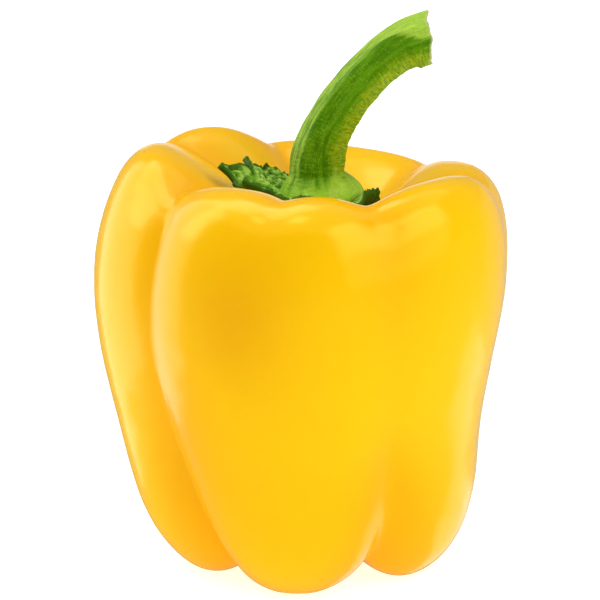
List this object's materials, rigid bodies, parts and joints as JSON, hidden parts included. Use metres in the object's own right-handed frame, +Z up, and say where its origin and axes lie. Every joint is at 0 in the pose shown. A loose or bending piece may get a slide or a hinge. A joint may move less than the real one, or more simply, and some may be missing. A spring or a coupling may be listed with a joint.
{
  "type": "yellow bell pepper",
  "caption": "Blocky yellow bell pepper with rounded lobes, a crinkled green calyx in the hollow at its top, and a curved, cut green stem.",
  "frame": {"origin": "middle of the whole part's box, at the height of the surface it rests on", "axes": "+Z up, from the blossom end to the stem; +X towards the side the stem leans to; the widest smooth lobe faces -Y"},
  "size_m": [0.0902, 0.0904, 0.1237],
  "materials": {
    "skin": "smooth, waxy, glossy yellow skin, deeper orange in the seams",
    "calyx": "crinkled, veined, dull green with a paler edge",
    "stem": "satin green with long streaks and soft ridges, pale fibrous cut end"
  },
  "bodies": {
    "root": {"fruit": "skin", "calyx": "calyx", "stem": "stem"}
  },
  "joints": []
}
